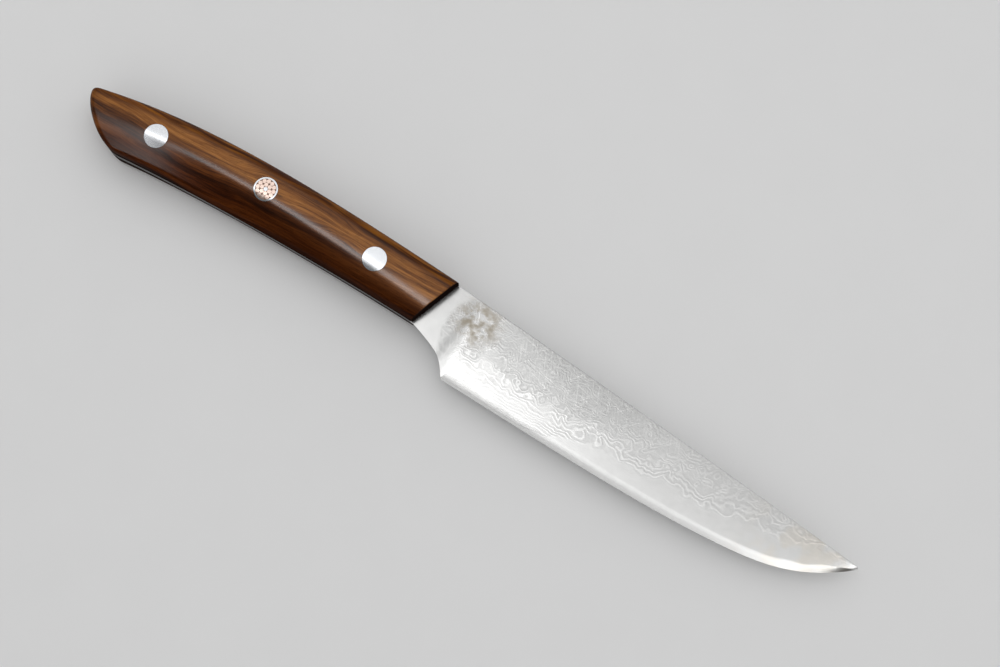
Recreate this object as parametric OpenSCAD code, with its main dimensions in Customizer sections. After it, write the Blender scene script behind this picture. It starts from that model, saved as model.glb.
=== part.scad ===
// Fixed-blade kitchen knife with a full tang, lying on its left flank.
// Drawn about the corner where the blade's spine meets the handle: +X runs to the tip,
// +Y to the spine side and +Z out of the right flank. The finished part is then moved so that
// its origin is the middle of its outline, on the surface that the left flank rests on.

/* [Blade] */
// Length of the bare blade, from the handle's front corner to the tip
blade_len = 122.8; // [100:0.1:150]
// Depth of the blade at the heel, below the spine
heel_depth = 22.5; // [20:0.1:28]
// How far the heel corner lies in front of the handle's front corner
heel_x = 10.5; // [8:0.1:14]
// Thickness of the tang and of the flat behind the grind
tang_thick = 2; // [1.6:0.1:2.6]
// Thickness of the spine at the tip
tip_thick = 0.8; // [0.6:0.1:1.2]
// Thickness behind the cutting bevel
grind_thick = 0.4; // [0.3:0.05:0.5]
// Width of the cutting bevel
bevel_w = 0.9; // [0.5:0.1:1.5]

/* [Handle] */
// Length of the handle's spine edge
grip_len = 107.5; // [100:0.5:120]
// Thickness of the whole handle over both scales
grip_thick = 12; // [11:0.5:15]
// How far the butt's upper corner lies below the blade's spine
butt_drop = 12.6; // [9:0.1:14]
// How far the butt's lower corner lies below its upper corner
butt_depth = 11.3; // [10:0.1:13]
// How far the butt's lower corner lies in front of its upper corner
butt_slant = 14.5; // [10:0.5:16]
// Depth of the handle at its front face
front_depth = 14.8; // [14:0.1:17]
// How far the front face leans back from spine to belly
front_lean = 4.1; // [2:0.1:5]
// Angle by which the belly facet falls away from the flat side at the butt
facet_rear = 8; // [5:1:15]
// The same angle over the front half of the handle
facet_front = 20; // [15:1:25]

/* [Pins] */
// Diameter of all three pins
pin_d = 6.35; // [5:0.05:6.5]
// Wall of the patterned pin's tube
tube_wall = 0.4; // [0.3:0.05:0.5]
// Gap that the filler leaves around each rod in the patterned pin
rod_gap = 0.03; // [0.02:0.01:0.04]

/* [Hidden] */

$fn = 64;

// ---- Curves, each given by its two ends, the direction at each end and how hard it pulls
function toward(angle, reach) = reach * [cos(angle), sin(angle)];
function curve(start, a0, r0, end, a1, r1) = [start, start + toward(a0, r0), end - toward(a1, r1), end];
function on_curve(c, t) =
    pow(1 - t, 3) * c[0] + 3 * pow(1 - t, 2) * t * c[1] + 3 * (1 - t) * t * t * c[2] + pow(t, 3) * c[3];
function mix(a, b, t) = a + (b - a) * t;
function clamp01(t) = max(0, min(1, t));
function ease(t) = clamp01(t) * clamp01(t) * (3 - 2 * clamp01(t));

// ---- Handle outline
grip_front = [0, 0];
belly_front = [-front_lean, -front_depth];
butt_top = [-grip_len, -butt_drop];
butt_low = butt_top + [butt_slant, -butt_depth];
rear_angle = 19.4;
belly_angle = 9.7;
grip_back = curve(butt_top, rear_angle, 30.7, grip_front, 1.5, 38);
grip_belly = curve(butt_low, belly_angle, 24.3, belly_front, 2.7, 25.4);
grip_butt = curve(butt_top, rear_angle + 180, 4.8, butt_low, belly_angle, 7.2);

// ---- Blade outline
tip_top = [blade_len - 0.4, -0.3];
tip_low = [blade_len, -0.9];
heel = [heel_x, -heel_depth];
belly_bend = [0.716 * blade_len, -0.72 * heel_depth];
bend_angle = 9;
blade_back = curve(grip_front, 0.3, 40, tip_top, -1, 40);
choil = curve(belly_front, -14.4, 10.8, heel, -51, 6.5);
edge_rear = curve(heel, 3.7, 24.6, belly_bend, bend_angle, 23);
edge_front = curve(belly_bend, bend_angle, 13.7, tip_low, 44.2, 16);

// ---- Handle section: flat side, ridge, then a facet that falls to the belly
half_thick = grip_thick / 2;
half_tang = tang_thick / 2;
back_r = 2.2;
belly_r = 2;
butt_r = 1.5;
front_chamfer = 0.35;
ridge_rear = 0.455;
ridge_front = 0.67;
ridge_sweep = 1.4;
facet_turn = 0.5;
arc_steps = 6;
flat_steps = 4;
facet_steps = 3;
function ridge_at(u) = mix(ridge_rear, ridge_front, pow(u, ridge_sweep));
function facet_at(u) = mix(facet_rear, facet_front, ease(u / facet_turn));

// Points [distance from the spine edge, height above the middle plane] for a handle of depth w
function side_profile(w, ridge, facet) =
    let (foot = w - belly_r + belly_r * sin(facet))
    let (foot_z = half_thick - (foot - ridge) * tan(facet))
    concat(
        [for (k = [0:arc_steps]) let (a = 90 * k / arc_steps)
            [back_r * (1 - cos(a)), half_thick - back_r * (1 - sin(a))]],
        [for (k = [1:flat_steps]) [mix(back_r, ridge, k / flat_steps), half_thick]],
        [for (k = [1:facet_steps]) mix([ridge, half_thick], [foot, foot_z], k / facet_steps)],
        [for (k = [1:arc_steps]) let (a = (90 - facet) * (1 - k / arc_steps))
            [w - belly_r * (1 - cos(a)), foot_z + belly_r * (sin(a) - cos(facet))]]
    );

// Stations along the handle from butt to front: close together in both rounded ends
butt_speed = 85;
grip_stations = 34;
butt_steps = [0, 0.1, 0.3, 0.6, 1];
first_station = butt_r / butt_speed;
stations = concat(
    [for (s = butt_steps) s * first_station],
    [for (k = [1:grip_stations - 1]) mix(first_station, 1, pow(k / grip_stations, 1.15))],
    [1 - front_chamfer / grip_len, 1]
);

// The butt's curve bulges behind the straight line across it, and the bulge dies out forwards
bulge_len = 0.3;
function bulge(u, t) =
    (on_curve(grip_butt, t) - mix(butt_top, butt_low, t)) * pow(clamp01(1 - u / bulge_len), 2);
function grip_point(u, t) = mix(on_curve(grip_back, u), on_curve(grip_belly, u), t) + bulge(u, t);
function unit(v) = v / norm(v);
function grip_course(u) =
    unit(on_curve(grip_back, min(1, u + 0.01)) + on_curve(grip_belly, min(1, u + 0.01))
        - on_curve(grip_back, u - 0.01) - on_curve(grip_belly, u - 0.01));
function depth_at(u) =
    let (across = on_curve(grip_belly, u) - on_curve(grip_back, u), course = grip_course(u))
    abs(course.x * across.y - course.y * across.x);

// Heights fall away in a quarter round at the butt and in a small chamfer at the front
function butt_fall(d) = butt_r * (1 - sqrt(1 - pow(clamp01(1 - d / butt_r), 2)));
function end_fall(u, t) =
    butt_fall(norm(grip_point(u, t) - grip_point(0, t))) + (u == 1 ? front_chamfer : 0);
function grip_row(u) =
    let (w = depth_at(u))
    [for (p = side_profile(w, ridge_at(u) * w, facet_at(u)))
        let (t = p.x / w, q = grip_point(u, t))
        [q.x, q.y, p.y - end_fall(u, t) * clamp01((p.y - half_tang) / (half_thick - half_tang))]];
grip_side = [for (u = stations) grip_row(u)];

// ---- Solids from rows of points
function flip(row) = [for (p = row) [p.x, p.y, -p.z]];
function lay(row, z) = [for (p = row) [p.x, p.y, z]];

// Closed solid between a grid of upper points and a grid of lower points over the same outline
module between(upper, lower) {
    rows = len(upper);
    cols = len(upper[0]);
    count = rows * cols;
    m = rows - 1;
    n = cols - 1;
    function up(i, j) = i * cols + j;
    function low(i, j) = count + i * cols + j;
    faces = concat(
        [for (i = [0:m - 1], j = [0:n - 1]) each
            [[up(i, j), up(i + 1, j + 1), up(i, j + 1)], [up(i, j), up(i + 1, j), up(i + 1, j + 1)]]],
        [for (i = [0:m - 1], j = [0:n - 1]) each
            [[low(i, j), low(i, j + 1), low(i + 1, j + 1)], [low(i, j), low(i + 1, j + 1), low(i + 1, j)]]],
        [for (i = [0:m - 1]) [low(i, 0), low(i + 1, 0), up(i + 1, 0), up(i, 0)]],
        [for (i = [0:m - 1]) [low(i + 1, n), low(i, n), up(i, n), up(i + 1, n)]],
        [for (j = [0:n - 1]) [low(0, j + 1), low(0, j), up(0, j), up(0, j + 1)]],
        [for (j = [0:n - 1]) [low(m, j), low(m, j + 1), up(m, j + 1), up(m, j)]]
    );
    polyhedron(points = [each each upper, each each lower], faces = faces, convexity = 6);
}

// ---- Blade surface, as half thicknesses over stations from the handle to the tip
grind_start = 5;
grind_run = 5;
grind_curve = 1.2;
spine_ease = 0.2;
edge_half = 0.03;
heel_station = 0.11;
bend_station = 0.75;
choil_steps = 12;
rear_steps = 18;
front_steps = 20;
taper_curve = 1.3;
function taper_half(x) =
    mix(half_tang, tip_thick / 2, pow(clamp01((x - heel_x) / (blade_len - heel_x)), taper_curve));
function ground_half(x, f) = mix(taper_half(x), grind_thick / 2, pow(f, grind_curve));
function blade_half(x, f) = mix(half_tang, ground_half(x, f), ease((x - grind_start) / grind_run));

// One row from spine to lower edge, as many points as a handle row; sharp rows end in the bevel
side_cols = len(grip_side[0]);
function blade_row(s, low, sharp) =
    let (top = on_curve(blade_back, s))
    let (w = norm(low - top))
    let (floor_y = sharp ? low.y : -heel_depth)
    let (first = min(spine_ease, 0.1 * w) / w)
    let (last = 1 - min(bevel_w, 0.35 * w) / w)
    [for (k = [0:side_cols - 1])
        let (is_spine = k == 0, is_low = k == side_cols - 1)
        let (t = is_spine ? 0 : is_low ? 1 : mix(first, last, (k - 1) / (side_cols - 3)))
        let (p = mix(top, low, t))
        let (h = blade_half(p.x, clamp01((top.y - p.y) / (top.y - floor_y))))
        [p.x, p.y, is_spine ? h - first * w / 2 : is_low && sharp ? edge_half : h]];

// The tang's rows have the same points as the scales, and the blade goes on from the last of them
steel_side = concat(
    [for (row = grip_side) lay(row, half_tang)],
    [for (k = [1:choil_steps - 1]) let (t = k / choil_steps)
        blade_row(heel_station * t, on_curve(choil, t), false)],
    [for (k = [0:rear_steps - 1]) let (t = k / rear_steps)
        blade_row(mix(heel_station, bend_station, t), on_curve(edge_rear, t), true)],
    [for (k = [0:front_steps]) let (t = k / front_steps)
        blade_row(mix(bend_station, 1, t), on_curve(edge_front, t), true)]
);

// ---- Origin: middle of the outline, on the face that the left flank rests on
outline_x = [for (row = steel_side, p = row) p.x];
outline_y = [for (row = steel_side, p = row) p.y];
middle = [(max(outline_x) + min(outline_x)) / 2, (max(outline_y) + min(outline_y)) / 2];
module lying_down() {
    translate([-middle.x, -middle.y, half_thick])
        children();
}

// ---- Pins: three rods across the handle, ground flush with it at both ends
rear_spot = [-0.806 * grip_len, -14.4];
middle_spot = [-0.509 * grip_len, -9.25];
front_spot = [-0.194 * grip_len, -7.8];
tube_bore = pin_d / 2 - tube_wall;
// Nineteen equal rods fill a round bore when its radius is this many times theirs
packing = 4.863;
rod_pitch = tube_bore / packing;
rod_r = rod_pitch - rod_gap;
outer_ring_r = (packing - 1) * rod_pitch - rod_gap;
outer_count = 12;
inner_count = 6;

module rod(spot, r) {
    translate([spot.x, spot.y, -half_thick - 1])
        cylinder(r = r, h = grip_thick + 2);
}

module ring_of_rods(count, ring_r, turn) {
    for (k = [0:count - 1])
        rod(middle_spot + toward(turn + k * 360 / count, ring_r), rod_r);
}

module inner_ring() {
    ring_of_rods(inner_count, 2 * rod_pitch, 0);
}

module outer_ring() {
    ring_of_rods(outer_count, outer_ring_r, 360 / outer_count / 2);
}

// Keeps what lies within the shaped handle, so that rod ends follow its surface
module flush() {
    intersection() {
        children();
        between(grip_side, [for (row = grip_side) flip(row)]);
    }
}

module pin_holes() {
    rod(rear_spot, pin_d / 2);
    rod(middle_spot, pin_d / 2);
    rod(front_spot, pin_d / 2);
}

// ---- Sub-parts
module blade() {
    color("lightsteelblue")
        lying_down()
            difference() {
                between(steel_side, [for (row = steel_side) flip(row)]);
                pin_holes();
            }
}

module half_grip() {
    color("saddlebrown")
        difference() {
            between(grip_side, [for (row = grip_side) lay(row, half_tang)]);
            pin_holes();
        }
}

module right_scale() {
    lying_down()
        half_grip();
}

module left_scale() {
    lying_down()
        mirror([0, 0, 1])
            half_grip();
}

module plain_pin(spot) {
    color("silver")
        lying_down()
            flush()
                rod(spot, pin_d / 2);
}

module front_pin() {
    plain_pin(front_spot);
}

module rear_pin() {
    plain_pin(rear_spot);
}

module mosaic_tube() {
    color("silver")
        lying_down()
            flush()
                difference() {
                    rod(middle_spot, pin_d / 2);
                    rod(middle_spot, tube_bore);
                }
}

module mosaic_center_rod() {
    color("silver")
        lying_down()
            flush()
                rod(middle_spot, rod_r);
}

module mosaic_inner_rods() {
    color("peru")
        lying_down()
            flush()
                inner_ring();
}

module mosaic_outer_rods() {
    color("peru")
        lying_down()
            flush()
                outer_ring();
}

module mosaic_filler() {
    color("dimgray")
        lying_down()
            flush()
                difference() {
                    rod(middle_spot, tube_bore);
                    rod(middle_spot, rod_r);
                    inner_ring();
                    outer_ring();
                }
}

blade();
right_scale();
left_scale();
front_pin();
rear_pin();
mosaic_tube();
mosaic_center_rod();
mosaic_inner_rods();
mosaic_outer_rods();
mosaic_filler();
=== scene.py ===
import math

import bmesh
import bpy
import numpy as np
from mathutils import Matrix, Vector


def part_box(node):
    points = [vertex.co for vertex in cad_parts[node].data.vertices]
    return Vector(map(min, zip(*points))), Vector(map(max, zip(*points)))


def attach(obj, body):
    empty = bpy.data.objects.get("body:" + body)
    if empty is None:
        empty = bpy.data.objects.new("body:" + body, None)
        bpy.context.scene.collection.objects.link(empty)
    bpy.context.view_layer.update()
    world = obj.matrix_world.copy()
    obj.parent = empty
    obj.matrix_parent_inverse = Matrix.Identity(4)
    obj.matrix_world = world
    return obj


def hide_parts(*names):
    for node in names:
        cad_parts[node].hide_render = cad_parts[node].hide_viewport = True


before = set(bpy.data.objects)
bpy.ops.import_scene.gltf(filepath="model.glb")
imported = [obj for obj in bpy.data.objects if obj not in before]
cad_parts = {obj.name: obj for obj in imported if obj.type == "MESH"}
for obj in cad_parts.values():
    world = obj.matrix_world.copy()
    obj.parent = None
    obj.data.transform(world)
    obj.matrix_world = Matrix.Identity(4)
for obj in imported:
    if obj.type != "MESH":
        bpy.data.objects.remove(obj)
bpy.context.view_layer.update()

# Shapes are worked out in millimetres about the corner where the blade's spine meets the handle:
# X runs to the tip, Y to the spine side and Z out of the right flank.
MM = 0.001
HANDLE_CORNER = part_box("right_scale")[1]
MID_HEIGHT = (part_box("blade")[0].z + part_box("blade")[1].z) / 2
CORNER = Vector((HANDLE_CORNER.x, HANDLE_CORNER.y, MID_HEIGHT))

# ---------------------------------------------------------------- sizes, in mm
BLADE_LEN = 122.8
HEEL_DEPTH = 22.5
HEEL_X = 10.5
HALF_TANG = 1.0
TIP_HALF = 0.4
GRIND_HALF = 0.2
EDGE_HALF = 0.03
GRIP_LEN = 107.5
HALF_THICK = 6.0
BUTT_DROP = 12.6
BUTT_DEPTH = 11.3
BUTT_SLANT = 14.5
FRONT_DEPTH = 14.8
FRONT_LEAN = 4.1
FACET_REAR = 8.0
FACET_FRONT = 20.0
PIN_R = 3.175
TUBE_BORE = PIN_R - 0.4
WOOD_SINK = 0.02
RESIN_SINK = 0.03
PIN_GAP = 0.05
PIN_OVERHANG = 2.0


# ---------------------------------------------------------------- curves
def toward(angle, reach):
    a = math.radians(angle)
    return reach * np.array([math.cos(a), math.sin(a)])


def curve(start, a0, r0, end, a1, r1):
    start, end = np.array(start, float), np.array(end, float)
    return np.array([start, start + toward(a0, r0), end - toward(a1, r1), end])


def on_curve(c, t):
    t = np.asarray(t, float)[..., None]
    return (1 - t) ** 3 * c[0] + 3 * (1 - t) ** 2 * t * c[1] + 3 * (1 - t) * t**2 * c[2] + t**3 * c[3]


def mix(a, b, t):
    return a + (b - a) * t


def ease(t):
    t = np.clip(t, 0, 1)
    return t * t * (3 - 2 * t)


GRIP_FRONT = np.array([0.0, 0.0])
BELLY_FRONT = np.array([-FRONT_LEAN, -FRONT_DEPTH])
BUTT_TOP = np.array([-GRIP_LEN, -BUTT_DROP])
BUTT_LOW = BUTT_TOP + np.array([BUTT_SLANT, -BUTT_DEPTH])
REAR_ANGLE, BELLY_ANGLE = 19.4, 9.7
GRIP_BACK = curve(BUTT_TOP, REAR_ANGLE, 30.7, GRIP_FRONT, 1.5, 38)
GRIP_BELLY = curve(BUTT_LOW, BELLY_ANGLE, 24.3, BELLY_FRONT, 2.7, 25.4)
GRIP_BUTT = curve(BUTT_TOP, REAR_ANGLE + 180, 4.8, BUTT_LOW, BELLY_ANGLE, 7.2)

TIP_TOP = np.array([BLADE_LEN - 0.4, -0.3])
TIP_LOW = np.array([BLADE_LEN, -0.9])
HEEL = np.array([HEEL_X, -HEEL_DEPTH])
BELLY_BEND = np.array([0.716 * BLADE_LEN, -0.72 * HEEL_DEPTH])
BLADE_BACK = curve(GRIP_FRONT, 0.3, 40, TIP_TOP, -1, 40)
CHOIL = curve(BELLY_FRONT, -14.4, 10.8, HEEL, -51, 6.5)
EDGE_REAR = curve(HEEL, 3.7, 24.6, BELLY_BEND, 9, 23)
EDGE_FRONT = curve(BELLY_BEND, 9, 13.7, TIP_LOW, 44.2, 16)

REAR_SPOT = np.array([-0.806 * GRIP_LEN, -14.4])
MIDDLE_SPOT = np.array([-0.509 * GRIP_LEN, -9.25])
FRONT_SPOT = np.array([-0.194 * GRIP_LEN, -7.8])
PIN_SPOTS = [REAR_SPOT, MIDDLE_SPOT, FRONT_SPOT]

# ---------------------------------------------------------------- handle surface
BACK_R, BELLY_R, BUTT_R, FRONT_CHAMFER = 2.2, 2.0, 1.5, 0.35
SOFT_REAR, SOFT_FRONT = 0.25, 0.95
ACROSS_STEPS = 48
BULGE_LEN = 0.3
ARC_STEPS, ROUND_STEPS = 10, 9
GRIP_STEPS, STEP_GROWTH, GRIP_SPAN = 110, 1.1, 85.0
RIDGE_REAR, RIDGE_FRONT, RIDGE_CURVE = 0.455, 0.67, 1.4
PLACES, PLACE_SCALE = "from_spine_and_ridge", 20.0


def ridge_at(u):
    """Where the ridge lies between spine (0) and belly (1), at u from butt (0) to front (1)."""
    return mix(RIDGE_REAR, RIDGE_FRONT, u**RIDGE_CURVE)


def facet_at(u):
    return math.radians(mix(FACET_REAR, FACET_FRONT, float(ease(u / 0.5))))


def side_profile(w, ridge, facet, soft_len):
    """Distances from the spine edge and heights over the middle plane, across a handle w deep."""
    foot = w - BELLY_R + BELLY_R * math.sin(facet)
    across = np.linspace(BACK_R, foot, ACROSS_STEPS)
    soft = soft_len * np.log1p(np.exp((across - ridge) / soft_len))
    flat_z = HALF_THICK - math.tan(facet) * soft
    back = np.linspace(0, math.pi / 2, ARC_STEPS + 1)[:-1]
    belly = np.linspace(math.pi / 2 - facet, 0, ARC_STEPS + 1)[1:]
    d = np.concatenate([BACK_R * (1 - np.cos(back)), across, w - BELLY_R * (1 - np.cos(belly))])
    z = np.concatenate([
        HALF_THICK - BACK_R * (1 - np.sin(back)),
        flat_z,
        flat_z[-1] + BELLY_R * (np.sin(belly) - math.cos(facet)),
    ])
    return d, z


def grip_point(u, t):
    t = np.asarray(t, float)
    bulge = on_curve(GRIP_BUTT, t) - mix(BUTT_TOP, BUTT_LOW, t[..., None])
    body = mix(on_curve(GRIP_BACK, u), on_curve(GRIP_BELLY, u), t[..., None])
    return body + bulge * float(np.clip(1 - u / BULGE_LEN, 0, 1)) ** 2


def depth_at(u):
    across = on_curve(GRIP_BELLY, u) - on_curve(GRIP_BACK, u)
    ahead, behind = min(1.0, u + 0.01), u - 0.01
    course = on_curve(GRIP_BACK, ahead) + on_curve(GRIP_BELLY, ahead)
    course = course - on_curve(GRIP_BACK, behind) - on_curve(GRIP_BELLY, behind)
    course = course / np.linalg.norm(course)
    return abs(course[0] * across[1] - course[1] * across[0])


def grip_stations():
    """Values of u for the rows of points, closer together over the butt's rounding."""
    first = BUTT_R / GRIP_SPAN
    rounding = first * (1 - np.cos(np.linspace(0, math.pi / 2, ROUND_STEPS)))
    body = mix(first, 1 - FRONT_CHAMFER / GRIP_LEN, np.linspace(0, 1, GRIP_STEPS) ** STEP_GROWTH)
    return np.concatenate([rounding, body[1:], [1.0]])


def grip_grid(sink):
    """Rows of points over one flank, sunk by sink mm, and how far each is from spine and ridge."""
    rows, places = [], []
    for u in grip_stations():
        w = depth_at(u)
        d, z = side_profile(w, ridge_at(u) * w, facet_at(u), mix(SOFT_REAR, SOFT_FRONT, u))
        t = d / w
        xy = grip_point(u, t)
        back = np.linalg.norm(xy - grip_point(0.0, t), axis=1)
        fall = BUTT_R * (1 - np.sqrt(1 - np.clip(1 - back / BUTT_R, 0, 1) ** 2))
        fall = fall + (FRONT_CHAMFER if u == 1 else 0) + sink
        z = z - fall * np.clip((z - HALF_TANG) / (HALF_THICK - HALF_TANG), 0, 1)
        rows.append(np.column_stack([xy, z]))
        places.append(np.column_stack([d, d - ridge_at(u) * w]) / PLACE_SCALE)
    return np.array(rows), np.array(places)


# ---------------------------------------------------------------- blade surface
GRIND_START, GRIND_RUN, GRIND_CURVE, TAPER_CURVE = 5.0, 5.0, 1.2, 1.3
HEEL_STATION, BEND_STATION = 0.11, 0.75
SPINE_ROUND, SPINE_SAG, SPINE_STEPS = 0.2, 0.1, 4
CHOIL_MARGIN, WIDEST_BEVEL, SHOULDER = 0.3, 0.35, 0.46
BEVEL_REAR, BEVEL_FRONT, BEVEL_WAVER, WAVER_RATE = 2.1, 2.4, 0.28, 0.72
WAVER_START, WAVER_RUN = 96.0, 17.0
BLADE_COLS, CHOIL_ROWS, EDGE_REAR_ROWS, EDGE_FRONT_ROWS = 36, 33, 81, 71


def bevel_at(x):
    """How wide the hand-ground bevel is, with the slow waver of the stone near the tip."""
    wide = ease((x - WAVER_START) / WAVER_RUN)
    return mix(BEVEL_REAR, BEVEL_FRONT, wide) + BEVEL_WAVER * wide * math.sin(WAVER_RATE * x)


def blade_half(x, f):
    """Half the blade's thickness at x, where f runs from the spine (0) to the edge (1)."""
    taper = mix(HALF_TANG, TIP_HALF, np.clip((x - HEEL_X) / (BLADE_LEN - HEEL_X), 0, 1) ** TAPER_CURVE)
    ground = mix(taper, GRIND_HALF, f**GRIND_CURVE)
    return mix(HALF_TANG, ground, ease((x - GRIND_START) / GRIND_RUN))


def blade_row(s, low, sharp):
    """One row of points from the spine at s down to low, with a cutting bevel if it is sharp."""
    top = on_curve(BLADE_BACK, s)
    w = np.linalg.norm(low - top)
    bevel = min(bevel_at(low[0]), WIDEST_BEVEL * w) if sharp else CHOIL_MARGIN
    corner = min(SPINE_ROUND, 0.1 * w)
    spine = corner * (1 - np.cos(np.linspace(0, math.pi / 2, SPINE_STEPS)))[:-1]
    body = np.linspace(corner, w - bevel, BLADE_COLS - len(spine) - 2)
    d = np.concatenate([spine, body, [w - bevel / 2, w]])
    p = mix(top, low, (d / w)[:, None])
    floor_y = low[1] if sharp else -HEEL_DEPTH
    z = blade_half(p[:, 0], np.clip((top[1] - p[:, 1]) / (top[1] - floor_y), 0, 1))
    z[:len(spine)] -= SPINE_SAG * (1 - np.sqrt(1 - (1 - spine / corner) ** 2))
    if sharp:
        z[-2:] = [mix(z[-3], EDGE_HALF, SHOULDER), EDGE_HALF]
    return np.column_stack([p, z])


def steel_grid():
    """Rows of points over one flank of tang and blade, from butt to tip."""
    rows = []
    for u in grip_stations():
        w = depth_at(u)
        d = np.linspace(0, w, BLADE_COLS)
        xy = grip_point(u, d / w)
        rows.append(np.column_stack([xy, np.full(BLADE_COLS, HALF_TANG)]))
    for t in np.linspace(0, 1, CHOIL_ROWS)[1:-1]:
        rows.append(blade_row(HEEL_STATION * t, on_curve(CHOIL, t), False))
    for t in np.linspace(0, 1, EDGE_REAR_ROWS)[:-1]:
        rows.append(blade_row(mix(HEEL_STATION, BEND_STATION, t), on_curve(EDGE_REAR, t), True))
    for t in np.linspace(0, 1, EDGE_FRONT_ROWS):
        rows.append(blade_row(mix(BEND_STATION, 1, t), on_curve(EDGE_FRONT, t), True))
    return np.array(rows)


# ---------------------------------------------------------------- meshes
WELD = 1e-7
PIN_SIDES, ROD_SIDES, TANG_HOLE_SIDES = 96, 32, 64
CRISP_EDGE, CRISP_STEEL = 24, 6


def to_frame(points):
    """Points in mm about the handle's corner as points of the frame, in metres."""
    return np.asarray(points) * MM + np.array(CORNER)


def new_object(name, mesh):
    obj = bpy.data.objects.new(name, mesh)
    bpy.context.scene.collection.objects.link(obj)
    return obj


def between(name, upper, lower, places=None):
    """A closed mesh between two grids of points over the same outline."""
    rows, cols = upper.shape[:2]
    n = rows * cols
    index = np.arange(n).reshape(rows, cols)
    top, low = index, index + n

    def quads(a, b, c, d):
        return np.stack([a, b, c, d], -1).reshape(-1, 4)

    faces = np.concatenate([
        quads(top[:-1, :-1], top[:-1, 1:], top[1:, 1:], top[1:, :-1]),
        quads(low[:-1, :-1], low[1:, :-1], low[1:, 1:], low[:-1, 1:]),
        quads(low[:-1, 0], top[:-1, 0], top[1:, 0], low[1:, 0]),
        quads(low[1:, -1], top[1:, -1], top[:-1, -1], low[:-1, -1]),
        quads(low[0, 1:], top[0, 1:], top[0, :-1], low[0, :-1]),
        quads(low[-1, :-1], top[-1, :-1], top[-1, 1:], low[-1, 1:]),
    ])
    points = np.concatenate([upper.reshape(-1, 3), lower.reshape(-1, 3)])
    mesh = bpy.data.meshes.new(name)
    mesh.from_pydata(to_frame(points), [], faces)
    if places is not None:
        uv = np.concatenate([places.reshape(-1, 2)] * 2)[faces.reshape(-1)]
        mesh.uv_layers.new(name=PLACES).data.foreach_set("uv", uv.astype(np.float32).reshape(-1))
    bm = bmesh.new()
    bm.from_mesh(mesh)
    bmesh.ops.recalc_face_normals(bm, faces=bm.faces)
    bm.to_mesh(mesh)
    bm.free()
    return new_object(name, mesh)


def mirrored(grid):
    return grid * np.array([1, 1, -1])


def laid(grid, z):
    """The same outline pressed flat at height z."""
    flat = grid.copy()
    flat[..., 2] = z
    return flat


def rods(name, spots, radius, sides):
    """Straight round rods through the whole handle, one closed cylinder at each spot."""
    bm = bmesh.new()
    for x, y in spots:
        place = Matrix.Translation(Vector(to_frame([x, y, 0])))
        bmesh.ops.create_cone(
            bm, cap_ends=True, segments=sides, radius1=radius * MM, radius2=radius * MM,
            depth=2 * (HALF_THICK + PIN_OVERHANG) * MM, matrix=place,
        )
    mesh = bpy.data.meshes.new(name)
    bm.to_mesh(mesh)
    bm.free()
    return new_object(name, mesh)


def carve(obj, cutter, operation):
    """Applies an exact boolean and throws the cutter away."""
    step = obj.modifiers.new("carve", "BOOLEAN")
    step.operation = operation
    step.solver = "EXACT"
    step.object = cutter
    graph = bpy.context.evaluated_depsgraph_get()
    mesh = bpy.data.meshes.new_from_object(
        obj.evaluated_get(graph), preserve_all_data_layers=True, depsgraph=graph
    )
    obj.modifiers.clear()
    obj.data = mesh
    bpy.data.objects.remove(cutter)
    return obj


def finish_mesh(obj, angle):
    """Smooth faces, with an edge kept crisp where it turns by more than angle degrees."""
    bm = bmesh.new()
    bm.from_mesh(obj.data)
    bmesh.ops.remove_doubles(bm, verts=bm.verts, dist=WELD)
    bmesh.ops.dissolve_degenerate(bm, edges=bm.edges, dist=WELD)
    for face in bm.faces:
        face.smooth = True
        face.material_index = 0
    limit = math.radians(angle)
    for edge in bm.edges:
        edge.smooth = len(edge.link_faces) == 2 and edge.calc_face_angle(0) < limit
    bm.to_mesh(obj.data)
    bm.free()
    return obj


def dress(obj, material, node):
    """Gives a piece its material, hangs it under the root body and hides the CAD node it stands for."""
    obj.data.materials.clear()
    obj.data.materials.append(material)
    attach(obj, "root")
    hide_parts(node)


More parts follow.
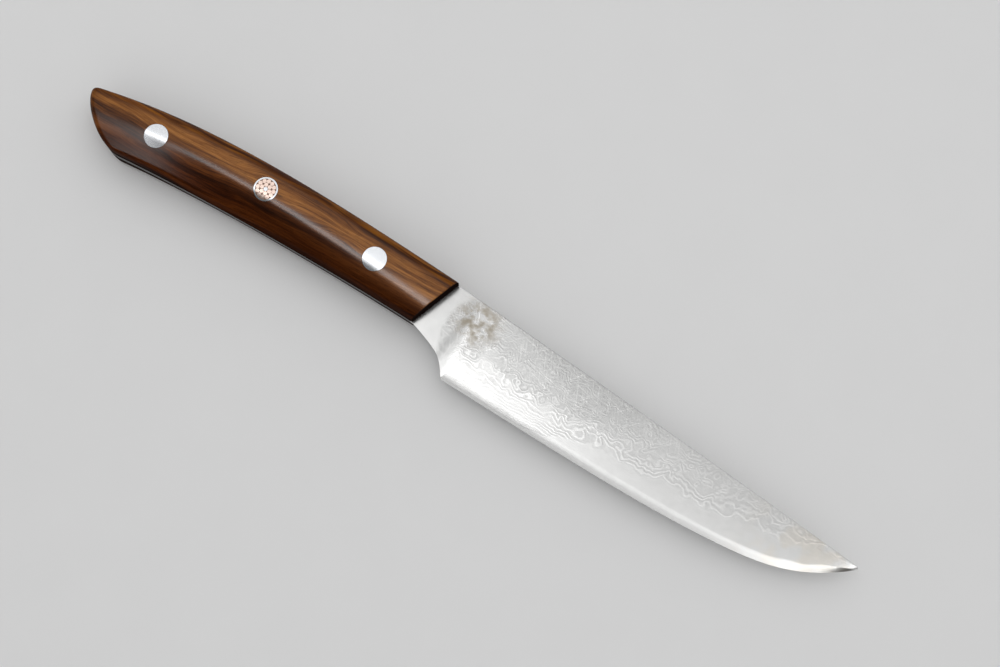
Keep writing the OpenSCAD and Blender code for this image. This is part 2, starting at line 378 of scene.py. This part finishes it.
# ---------------------------------------------------------------- material building
class Graph:
    """A material whose nodes are made by short calls; inputs are sockets or plain values."""

    def __init__(self, name):
        self.material = bpy.data.materials.new(name)
        self.material.use_nodes = True
        self.tree = self.material.node_tree
        self.shader = next(n for n in self.tree.nodes if n.type == "BSDF_PRINCIPLED")
        self.place = self.new("ShaderNodeTexCoord").outputs["Object"]

    def new(self, kind, **settings):
        node = self.tree.nodes.new(kind)
        for key, value in settings.items():
            setattr(node, key, value)
        return node

    def feed(self, socket, value):
        if isinstance(value, bpy.types.NodeSocket):
            self.tree.links.new(value, socket)
        else:
            socket.default_value = value

    def math(self, operation, a, b=0.0, c=0.0):
        node = self.new("ShaderNodeMath", operation=operation)
        for socket, value in zip(node.inputs, (a, b, c)):
            self.feed(socket, value)
        return node.outputs[0]

    def times(self, value, *others):
        for other in others:
            value = self.math("MULTIPLY", value, other)
        return value

    def plus(self, base, part, amount):
        """base with amount times part added."""
        return self.math("MULTIPLY_ADD", part, amount, base)

    def varied(self, base, noise, amount):
        """base moved up and down by a noise, over a range of amount."""
        return self.plus(base, self.math("SUBTRACT", noise, 0.5), amount)

    def most(self, a, b):
        return self.math("MAXIMUM", a, b)

    def rest(self, part):
        """What part leaves of 1."""
        return self.math("SUBTRACT", 1.0, part)

    def vector(self, operation, a, b=(0, 0, 0), scale=1.0):
        node = self.new("ShaderNodeVectorMath", operation=operation)
        for socket, value in ((node.inputs[0], a), (node.inputs[1], b), (node.inputs[3], scale)):
            self.feed(socket, value)
        return node.outputs[0]

    def distance(self, x, y, spot):
        node = self.new("ShaderNodeVectorMath", operation="DISTANCE")
        self.feed(node.inputs[0], self.join(x, y, 0.0))
        node.inputs[1].default_value = (*spot, 0)
        return node.outputs[1]

    def split(self, vector):
        node = self.new("ShaderNodeSeparateXYZ")
        self.feed(node.inputs[0], vector)
        return node.outputs[0], node.outputs[1], node.outputs[2]

    def join(self, x, y, z):
        node = self.new("ShaderNodeCombineXYZ")
        for socket, value in zip(node.inputs, (x, y, z)):
            self.feed(socket, value)
        return node.outputs[0]

    def turned(self, vector, degrees):
        node = self.new("ShaderNodeVectorRotate", rotation_type="Z_AXIS")
        self.feed(node.inputs["Vector"], vector)
        node.inputs["Angle"].default_value = math.radians(degrees)
        return node.outputs[0]

    def noise(self, vector, scale=1.0, detail=2.0, rough=0.5, warp=0.0, stretch=None):
        """Noise from 0 to 1; stretch is a scale for each axis."""
        if stretch is not None:
            vector = self.vector("MULTIPLY", vector, stretch)
        node = self.new("ShaderNodeTexNoise")
        self.feed(node.inputs["Vector"], vector)
        self.feed(node.inputs["Scale"], scale)
        self.feed(node.inputs["Detail"], detail)
        self.feed(node.inputs["Roughness"], rough)
        self.feed(node.inputs["Distortion"], warp)
        return node.outputs["Fac"]

    def step(self, value, low, high, to_low=0.0, to_high=1.0):
        """value from low to high becomes to_low to to_high along a smooth step."""
        node = self.new("ShaderNodeMapRange", interpolation_type="SMOOTHSTEP")
        for socket, v in zip(node.inputs, (value, low, high, to_low, to_high)):
            self.feed(socket, v)
        return node.outputs[0]

    def blend(self, factor, a, b, mode="MIX"):
        node = self.new("ShaderNodeMix", data_type="RGBA", blend_type=mode)
        self.feed(node.inputs[0], factor)
        self.feed(node.inputs[6], a if isinstance(a, bpy.types.NodeSocket) else (*a, 1))
        self.feed(node.inputs[7], b if isinstance(b, bpy.types.NodeSocket) else (*b, 1))
        return node.outputs[2]

    def ramp(self, factor, stops):
        node = self.new("ShaderNodeValToRGB")
        self.feed(node.inputs[0], factor)
        elements = node.color_ramp.elements
        while len(elements) < len(stops):
            elements.new(0.5)
        for element, (place, colour) in zip(elements, stops):
            element.position = place
            element.color = (*colour, 1)
        return node.outputs[0]

    def bump(self, height, distance, normal=None):
        node = self.new("ShaderNodeBump")
        self.feed(node.inputs["Height"], height)
        node.inputs["Distance"].default_value = distance
        if normal is not None:
            self.feed(node.inputs["Normal"], normal)
        return node.outputs[0]

    def knife_place(self):
        """The point in mm about the handle's corner."""
        return self.vector("SCALE", self.vector("SUBTRACT", self.place, tuple(CORNER)), scale=1 / MM)

    def past_front(self, x, y):
        """How far x is past the handle's leaning front face; over the handle this is negative."""
        return self.plus(x, y, -FRONT_LEAN / FRONT_DEPTH)

    def finish(self, **values):
        for name, value in values.items():
            self.feed(self.shader.inputs[name.replace("_", " ")], value)
        return self.material


# ---------------------------------------------------------------- blade steel
# Places in mm. A spot is a point on the flank; other pairs run from where a zone starts to where it is
# full. CORE_HEIGHTS is how high up the layers the plain core reaches at the two ends of CORE_RISE.
ETCH_SPOT, ETCH_ROUND, ETCH_AHEAD = (16.0, -8.5), (14.2, 12.6), (14.0, 17.0)
STAIN_SPOT, STAIN_ROUND = (9.8, -5.2), (8.5, 2.0)
CORE_RISE, CORE_HEIGHTS = (26.0, 52.0), (0.05, 0.42)
CLEAR_LINES = (30.0, 45.0)
WORN_ZONE, WORN_DEPTHS = (86.0, 58.0), (0.56, 0.74)
DULL_ZONE, DULL_DEPTHS = (72.0, 46.0), (0.5, 0.64)
WARM_TIP = (88.0, 112.0)
TANG_START = (-0.3, -0.8)
PLUNGE_REAR, PLUNGE_FRONT, PLUNGE_HEIGHTS = (4.6, 6.4), (10.6, 9.0), (0.95, 0.7)
BEVEL_HEIGHTS = (0.1, 0.15)
FLANK_GAP = 40.0
LAYERS_PER_MM, EXTRA_LAYERS, EXTRA_DEPTH = 21.0, 12.0, 0.4
# How deep the bumps are, in metres
LAYER_RELIEF, PIT_DEPTH, BRUSH_DEPTH = 9e-6, 6e-6, 2e-6
# The second tone darkens the tang between the scales: painted shade and painted dark reflection.
STEEL_TONE, TANG_SHADE = 0.74, 0.16
TARNISH = (0.36, 0.30, 0.21)
WARM_STEEL = (0.80, 0.74, 0.65)


def layer_depth(g, flat, height):
    """How deep a point lies in the forged bar, whose level layers the hammer pushed up and down."""
    wide = g.math("SUBTRACT", g.noise(flat, scale=0.13, warp=0.3), 0.5)
    push = g.varied(wide, g.noise(flat, scale=0.3, detail=1.0, warp=0.5), 0.8)
    reach = g.step(height, 0.32, 0.62, 0.06, 0.36)
    return g.plus(height, push, reach)


def layer_wave(g, depth):
    """Rises and falls once for each layer. The layers are thinner near the core."""
    count = g.plus(g.times(depth, LAYERS_PER_MM), g.math("MINIMUM", depth, EXTRA_DEPTH), EXTRA_LAYERS)
    return g.plus(0.5, g.math("SINE", g.times(count, 2 * math.pi)), 0.5)


def etched_zone(g, x, y):
    """1 where the blade was etched, which ends in an arc on the flat by the handle."""
    return g.most(g.step(g.distance(x, y, ETCH_SPOT), *ETCH_ROUND), g.step(x, *ETCH_AHEAD))


def layers_shown(g, flat, x, height, depth, etched):
    """How clearly the layers show: not in the core, on the cutting bevel or outside the etching."""
    above = g.math("SUBTRACT", depth, g.step(x, *CORE_RISE, *CORE_HEIGHTS))
    core = g.step(above, -0.012, 0.012)
    bevel = g.step(height, *BEVEL_HEIGHTS)
    patchy = g.step(g.noise(flat, scale=0.2), 0.36, 0.6, 0.3, 1.0)
    strong = g.most(patchy, g.step(above, 0.2, 0.1))
    faint = g.most(g.step(depth, 0.42, 0.5, 0.45, 1.0), g.step(x, *CLEAR_LINES))
    return g.times(core, etched, bevel, strong, faint)


def scratches(g, flat):
    """Short straight scratches in three directions."""
    marks = 0.0
    for turn, shift in ((62, 3.0), (-50, 19.0), (8, 41.0)):
        along = g.turned(g.vector("ADD", flat, (shift, shift, 0)), turn)
        line = g.noise(along, stretch=(0.11, 5.0, 1.0), detail=1.0)
        marks = g.math("ADD", marks, g.step(line, 0.64, 0.7))
    return g.math("MINIMUM", marks, 1.0)


def blade_steel():
    g = Graph("layered_steel")
    x, y, z = g.split(g.knife_place())
    height = g.math("ABSOLUTE", z)
    flat = g.join(x, y, g.times(g.math("SIGN", z), FLANK_GAP))
    depth = layer_depth(g, flat, height)
    etched = etched_zone(g, x, y)
    shown = layers_shown(g, flat, x, height, depth, etched)
    wave = layer_wave(g, depth)
    worn = g.times(g.step(depth, *WORN_DEPTHS), g.step(x, *WORN_ZONE))
    lines = g.times(g.math("POWER", wave, 2.5), shown, g.plus(1.0, worn, -0.7))
    tang = g.step(g.past_front(x, y), *TANG_START)

    # How light the steel is
    etch = g.noise(flat, scale=3.0, detail=3.0, rough=0.6)
    grain = g.noise(flat, stretch=(0.5, 7.0, 1.0), detail=3.0, rough=0.6)
    mottle = g.noise(flat, scale=0.3, detail=4.0, rough=0.6)
    dull = g.times(g.step(depth, *DULL_DEPTHS), etched, g.step(x, *DULL_ZONE))
    plunge_highlight = g.times(g.step(x, *PLUNGE_REAR), g.step(x, *PLUNGE_FRONT), g.step(height, *PLUNGE_HEIGHTS))
    value = g.plus(STEEL_TONE, lines, 0.14)
    value = g.plus(value, g.rest(shown), 0.05)
    value = g.varied(value, mottle, 0.12)
    value = g.varied(value, grain, 0.03)
    value = g.varied(value, etch, g.times(g.plus(0.16, worn, 0.3), shown))
    value = g.plus(value, dull, -0.13)
    value = g.plus(value, g.times(scratches(g, flat), worn, etched), 0.2)
    # Painted highlight: the steel is lightened where the grind begins, near the heel.
    value = g.plus(value, plunge_highlight, 0.2)
    # The tang between the scales is darkened: painted shade and painted dark reflection.
    value = g.times(value, g.plus(1.0, tang, TANG_SHADE - 1))
    colour = g.join(value, value, g.times(value, 0.99))

    near = g.step(g.distance(x, y, STAIN_SPOT), *STAIN_ROUND)
    stain = g.times(near, g.step(g.noise(flat, scale=0.4, detail=3.0, rough=0.6), 0.36, 0.66))
    warm = g.times(g.step(x, *WARM_TIP), g.step(g.noise(flat, scale=0.16), 0.42, 0.6))
    colour = g.blend(g.times(stain, 0.8), colour, TARNISH)
    colour = g.blend(g.times(warm, 0.5), colour, WARM_STEEL)

    rough = g.plus(0.27, lines, -0.08)
    rough = g.plus(rough, g.rest(shown), -0.04)
    rough = g.plus(rough, stain, 0.12)
    rough = g.plus(rough, tang, 0.4)
    relief = g.bump(g.times(wave, shown), LAYER_RELIEF)
    pitted = g.bump(g.times(etch, shown), PIT_DEPTH, relief)
    brushed = g.bump(grain, BRUSH_DEPTH, pitted)
    metal = g.plus(1.0, tang, -0.7)
    return g.finish(Base_Color=colour, Metallic=metal, Roughness=rough, Normal=brushed)


# ---------------------------------------------------------------- handle wood
# Zones in mm, from where each starts to where it is full, and the painted shade that darkens the wood there.
# The wall is told by height over the middle plane, brow, facet and low part by distance past the
# ridge, the spine zones by distance from the spine edge, and the fore part by X.
WALL_ZONE, WALL_SHADE = (5.0, 2.6), (0.50, 0.46, 0.46)
BROW_ZONE, BROW_SHADE = (-3.0, -0.8), (0.62, 0.56, 0.52)
SPINE_ZONE, SPINE_SHADE = (5.0, 0.9), (0.30, 0.19, 0.12)
FACET_ZONE, FACET_SHADE = (-0.6, 1.6), (0.72, 0.62, 0.56)
LOW_ZONE, LOW_SHADE = (0.8, 4.6), (0.58, 0.47, 0.40)
FORE_ZONE, FORE_SHADE = (-62.0, -34.0), (0.50, 0.46, 0.44)
SAP_FAR, SAP_NEAR = (2.8, 1.5), (0.0, 0.5)
LINE_NEAR, LINE_FAR = (1.9, 2.3), (3.2, 2.6)
END_ZONE = (-0.22, -0.06)
GRAIN_ANGLE, BOARD_GAP, PATCH_GAP = -6.5, 31.0, 5.0
WOOD_TONES = [
    (0.32, (0.026, 0.009, 0.004)),
    (0.42, (0.085, 0.028, 0.007)),
    (0.50, (0.19, 0.068, 0.014)),
    (0.60, (0.32, 0.130, 0.030)),
    (0.74, (0.47, 0.21, 0.062)),
]
PORE_BROWN, LINE_BROWN, END_GRAIN_AND_SHADE = (0.020, 0.007, 0.003), (0.022, 0.007, 0.003), (0.012, 0.007, 0.006)
SAPWOOD = (0.22, 0.076, 0.005)
PORE_DEPTH, RIPPLE_DEPTH = 3e-5, 3e-5
COAT_HEIGHTS, COAT_SPAN = (2.0, 4.2), (0.05, 0.34)
COAT_FADE, COAT_FADE_SPAN = (1.2, 3.6), (1.0, 0.4)


def wood_with_painted_shade(g, colour, x, height, across, past_ridge):
    """Paints shade into the wood's colour on its walls, just above the ridge, by the spine and over the belly
    facet.
    """
    facet = g.step(past_ridge, *FACET_ZONE)
    shades = (
        (g.step(height, *WALL_ZONE), WALL_SHADE),
        (g.step(past_ridge, *BROW_ZONE), BROW_SHADE),
        (g.step(across, *SPINE_ZONE), SPINE_SHADE),
        (facet, FACET_SHADE),
        (g.step(past_ridge, *LOW_ZONE), LOW_SHADE),
        (g.times(facet, g.step(x, *FORE_ZONE)), FORE_SHADE),
    )
    for factor, tint in shades:
        colour = g.blend(factor, colour, tint, "MULTIPLY")
    return colour


def spine_lines(g, colour, x, across, streak, seed):
    """A golden line of sapwood along the spine, and a dark line beside it."""
    patch = g.step(g.noise(g.join(g.times(x, 0.05), 0.0, seed * PATCH_GAP)), 0.38, 0.55, 0.35, 1.0)
    band = g.times(g.step(across, *SAP_FAR), g.step(across, *SAP_NEAR, 0.12, 1.0))
    sap = g.times(band, g.step(streak, 0.44, 0.6, 0.1, 1.0), patch)
    line = g.times(g.step(across, *LINE_NEAR), g.step(across, *LINE_FAR))
    colour = g.blend(g.times(sap, 0.8), colour, SAPWOOD)
    return g.blend(g.times(line, 0.3), colour, LINE_BROWN)


def handle_wood(seed):
    g = Graph(f"oiled_wood_{seed}")
    x, y, z = g.split(g.knife_place())
    height = g.math("ABSOLUTE", z)
    places = g.new("ShaderNodeUVMap", uv_map=PLACES).outputs[0]
    across, past_ridge, _ = g.split(g.vector("SCALE", places, scale=PLACE_SCALE))

    # The grain runs along a board that is laid askew and sways a little
    lie = g.turned(g.join(x, y, g.math("ADD", z, seed * BOARD_GAP)), GRAIN_ANGLE)
    gx, gy, gz = g.split(lie)
    bent = g.join(gx, g.varied(gy, g.noise(lie, stretch=(0.02, 0.1, 0.1)), 10.0), gz)
    broad = g.noise(bent, stretch=(0.014, 0.25, 0.12))
    streak = g.noise(bent, stretch=(0.03, 1.2, 0.5), detail=4.0, rough=0.62)
    fine = g.noise(bent, stretch=(0.12, 6.0, 3.0), detail=3.0, rough=0.6)
    pore = g.step(g.noise(bent, stretch=(0.3, 10.0, 8.0), detail=1.0), 0.6, 0.7)
    tone = g.varied(g.plus(g.times(streak, 0.45), broad, 0.55), fine, 0.34)

    end = g.step(g.past_front(x, y), *END_ZONE)
    colour = g.ramp(tone, WOOD_TONES)
    colour = g.blend(g.times(pore, 0.6), colour, PORE_BROWN)
    # Painted shade darkens the wood where its faces turn from the light.
    colour = wood_with_painted_shade(g, colour, x, height, across, past_ridge)
    colour = spine_lines(g, colour, x, across, streak, seed)
    # The front end face is near black: its darker end grain and painted shade.
    colour = g.blend(end, colour, END_GRAIN_AND_SHADE)

    rough = g.plus(g.varied(0.42, fine, 0.16), g.most(pore, end), 0.25)
    coat = g.times(g.step(height, *COAT_HEIGHTS, *COAT_SPAN), g.step(past_ridge, *COAT_FADE, *COAT_FADE_SPAN))
    dents = g.bump(g.rest(pore), PORE_DEPTH)
    ripple = g.bump(streak, RIPPLE_DEPTH, dents)
    return g.finish(
        Base_Color=colour, Roughness=rough, Normal=ripple, Coat_Weight=g.times(coat, g.rest(end)),
        Coat_Roughness=0.2, Specular_IOR_Level=0.0,
    )


# ---------------------------------------------------------------- pins
SCRATCH_DEPTH, RESIN_DEPTH = 3e-6, 5e-6
RESIN_TONES = [(0.35, (0.26, 0.13, 0.085)), (0.7, (0.50, 0.31, 0.22))]


def pin_metal(name, colour, rough, turn):
    """Metal ground flush, with fine scratches that run at turn degrees."""
    g = Graph(name)
    place = g.knife_place()
    scratch = g.noise(g.turned(place, turn), stretch=(1.1, 26.0, 2.0), detail=3.0, rough=0.65)
    cloud = g.noise(place, scale=1.4, detail=3.0, rough=0.6)
    tint = g.varied(g.varied(1.0, scratch, 0.16), cloud, 0.12)
    return g.finish(
        Base_Color=g.vector("SCALE", colour, scale=tint), Metallic=1.0,
        Roughness=g.varied(rough, scratch, 0.16), Normal=g.bump(scratch, SCRATCH_DEPTH),
    )


def tinted_resin():
    g = Graph("tinted_resin")
    speck = g.noise(g.knife_place(), scale=9.0, detail=3.0, rough=0.6)
    return g.finish(
        Base_Color=g.ramp(speck, RESIN_TONES), Roughness=g.plus(0.2, speck, 0.2),
        Normal=g.bump(speck, RESIN_DEPTH),
    )


# ---------------------------------------------------------------- pieces
def build_blade(material):
    grid = steel_grid()
    obj = between("blade_steel", grid, mirrored(grid))
    carve(obj, rods("holes", PIN_SPOTS, PIN_R + PIN_GAP, TANG_HOLE_SIDES), "DIFFERENCE")
    finish_mesh(obj, CRISP_STEEL)
    dress(obj, material, "blade")


def build_scale(name, node, side, material):
    grid, places = grip_grid(WOOD_SINK)
    floor = laid(grid, HALF_TANG)
    if side > 0:
        obj = between(name, grid, floor, places)
    else:
        obj = between(name, mirrored(floor), mirrored(grid), places)
    carve(obj, rods("holes", PIN_SPOTS, PIN_R + PIN_GAP, PIN_SIDES), "DIFFERENCE")
    finish_mesh(obj, CRISP_EDGE)
    dress(obj, material, node)
    return obj


def envelope(sink):
    """The whole handle as one closed mesh, sunk by sink mm, to trim the pins flush with it."""
    grid, _ = grip_grid(sink)
    return between("envelope", grid, mirrored(grid))


def build_rods(name, node, slot, spots, radius, sides, material):
    obj = rods(name, spots, radius, sides)
    carve(obj, envelope(0.0), "INTERSECT")
    finish_mesh(obj, CRISP_EDGE)
    dress(obj, material, node)


# One rod, 6 rods and 12 rods fill the tube. If they touched, the middles of the outer 12 would lie
# OUTER_RING rod radii from the centre. Each rod is ROD_GAP thinner than that.
OUTER_RING, PACKING = 3.863, 4.863
ROD_GAP = 0.03
ROD_PITCH = TUBE_BORE / PACKING
ROD_R = ROD_PITCH - ROD_GAP
INNER_SPOTS = [MIDDLE_SPOT + toward(60 * k, 2 * ROD_PITCH) for k in range(6)]
OUTER_SPOTS = [MIDDLE_SPOT + toward(15 + 30 * k, OUTER_RING * ROD_PITCH - ROD_GAP) for k in range(12)]


def build_tube(material):
    obj = rods("mosaic_tube_steel", [MIDDLE_SPOT], PIN_R, PIN_SIDES)
    carve(obj, rods("bore", [MIDDLE_SPOT], TUBE_BORE, PIN_SIDES), "DIFFERENCE")
    carve(obj, envelope(0.0), "INTERSECT")
    finish_mesh(obj, CRISP_EDGE)
    dress(obj, material, "mosaic_tube")


def build_filler(material):
    obj = rods("mosaic_filler_resin", [MIDDLE_SPOT], TUBE_BORE, PIN_SIDES)
    spots = [MIDDLE_SPOT, *INNER_SPOTS, *OUTER_SPOTS]
    carve(obj, rods("bores", spots, ROD_R, ROD_SIDES), "DIFFERENCE")
    carve(obj, envelope(RESIN_SINK), "INTERSECT")
    finish_mesh(obj, CRISP_EDGE)
    dress(obj, material, "mosaic_filler")


pin_steel = pin_metal("pin_steel", (0.84, 0.86, 0.89), rough=0.22, turn=38)
pin_copper = pin_metal("pin_copper", (0.95, 0.74, 0.64), rough=0.26, turn=20)
build_blade(blade_steel())
scales = [
    build_scale("right_scale_wood", "right_scale", 1, handle_wood(1)),
    build_scale("left_scale_wood", "left_scale", -1, handle_wood(2)),
]
PIN, ROD = (PIN_R, PIN_SIDES), (ROD_R, ROD_SIDES)
build_rods("front_pin_steel", "front_pin", "pin_steel", [FRONT_SPOT], *PIN, pin_steel)
build_rods("rear_pin_steel", "rear_pin", "pin_steel", [REAR_SPOT], *PIN, pin_steel)
build_tube(pin_steel)
build_rods("mosaic_center_rod_steel", "mosaic_center_rod", "pin_steel", [MIDDLE_SPOT], *ROD, pin_steel)
build_rods("mosaic_inner_rods_copper", "mosaic_inner_rods", "pin_copper", INNER_SPOTS, *ROD, pin_copper)
build_rods("mosaic_outer_rods_copper", "mosaic_outer_rods", "pin_copper", OUTER_SPOTS, *ROD, pin_copper)
build_filler(tinted_resin())

# ---------------------------------------------------------------- stage, light and camera
KNIFE_TURN = 35.696
CAMERA_ELEVATION = 78.0
CAMERA_DISTANCE = 0.3846
CAMERA_LENS = 54.0
CAMERA_TARGET = Vector(to_frame([15.78, -3.91, 0]))
SENSOR_WIDTH, CLIP_START = 36.0, 0.01
FLOOR_HALF, FLOOR_GAP, FLOOR_TONE = 3.0, 0.0001, 0.78
HORIZON, ZENITH = 0.7, 0.12
FADE_START, FADE_END = 0.25, 0.8
UP = Vector((0, 0, 1))
SPINE_SIDE = Vector((0, 1, 0))


def aim(obj, place, forward, up):
    """Puts obj at place, looking along forward with up as near its top as can be."""
    right = forward.cross(up).normalized()
    up = right.cross(forward).normalized()
    obj.matrix_world = Matrix((
        (right.x, up.x, -forward.x, place.x),
        (right.y, up.y, -forward.y, place.y),
        (right.z, up.z, -forward.z, place.z),
        (0, 0, 0, 1),
    ))


def add_camera():
    data = bpy.data.cameras.new("camera")
    data.lens = CAMERA_LENS
    data.sensor_width = SENSOR_WIDTH
    data.clip_start = CLIP_START
    camera = new_object("camera", data)
    turn, rise = math.radians(KNIFE_TURN), math.radians(CAMERA_ELEVATION)
    away = Vector((-math.sin(turn), math.cos(turn), 0))
    look = away * math.cos(rise) - UP * math.sin(rise)
    aim(camera, CAMERA_TARGET - look * CAMERA_DISTANCE, look.normalized(), UP)
    bpy.context.scene.camera = camera


def add_softbox(name, place, size, radiance, only=None):
    """A soft light in line with the knife, placed in metres from the camera's target and aimed there."""
    data = bpy.data.lights.new(name, "AREA")
    data.shape = "RECTANGLE"
    data.size, data.size_y = size
    data.energy = radiance * math.pi * size[0] * size[1]
    lamp = new_object(name, data)
    place = CAMERA_TARGET + Vector(place)
    aim(lamp, place, (CAMERA_TARGET - place).normalized(), SPINE_SIDE)
    if only is not None:
        lit = bpy.data.collections.new(name + "_lights")
        for obj in only:
            lit.objects.link(obj)
        lamp.light_linking.receiver_collection = lit


def add_floor():
    bm = bmesh.new()
    bmesh.ops.create_grid(bm, x_segments=1, y_segments=1, size=FLOOR_HALF)
    mesh = bpy.data.meshes.new("floor")
    bm.to_mesh(mesh)
    bm.free()
    floor = new_object("floor", mesh)
    floor.location = (0, 0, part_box("left_scale")[0].z - FLOOR_GAP)
    g = Graph("pale_floor")
    value = g.plus(FLOOR_TONE, g.noise(g.place, scale=60.0), 0.02)
    g.finish(Base_Color=g.join(value, value, value), Roughness=0.8, Specular_IOR_Level=0.1)
    mesh.materials.append(g.material)
    return floor


def add_world():
    """Bright around the horizon, dim overhead, where only the softboxes shine."""
    world = bpy.data.worlds.new("studio")
    world.use_nodes = True
    tree = world.node_tree
    back = next(n for n in tree.nodes if n.type == "BACKGROUND")
    way = tree.nodes.new("ShaderNodeTexCoord")
    parts = tree.nodes.new("ShaderNodeSeparateXYZ")
    fade = tree.nodes.new("ShaderNodeMapRange")
    fade.interpolation_type = "SMOOTHSTEP"
    limits = {"From Min": FADE_START, "From Max": FADE_END, "To Min": HORIZON, "To Max": ZENITH}
    for name, value in limits.items():
        fade.inputs[name].default_value = value
    tree.links.new(way.outputs["Generated"], parts.inputs[0])
    tree.links.new(parts.outputs[2], fade.inputs["Value"])
    tree.links.new(fade.outputs[0], back.inputs["Strength"])
    back.inputs["Color"].default_value = (1, 1, 1, 1)
    bpy.context.scene.world = world


add_camera()
floor = add_floor()
add_world()
add_softbox("key_softbox", (-0.2, -0.01, 0.7), size=(0.44, 0.11), radiance=1.5)
add_softbox("ridge_softbox", (-0.16, -0.075, 0.7), size=(0.32, 0.17), radiance=15.0, only=scales)
add_softbox("edge_softbox", (0.11, -0.02, 0.7), size=(0.18, 0.11), radiance=0.7)
add_softbox("tip_softbox", (0.26, -0.04, 0.7), size=(0.12, 0.12), radiance=2.0)
add_softbox("mid_softbox", (-0.22, 0.09, 0.71), size=(0.26, 0.14), radiance=0.4)
add_softbox("wide_softbox", (-0.05, 0.21, 0.72), size=(1.1, 0.78), radiance=0.45)
add_softbox("floor_softbox", (0.0, 0.0, 4.0), size=(12.0, 12.0), radiance=0.41, only=[floor])
bpy.context.scene.view_settings.view_transform = "Standard"
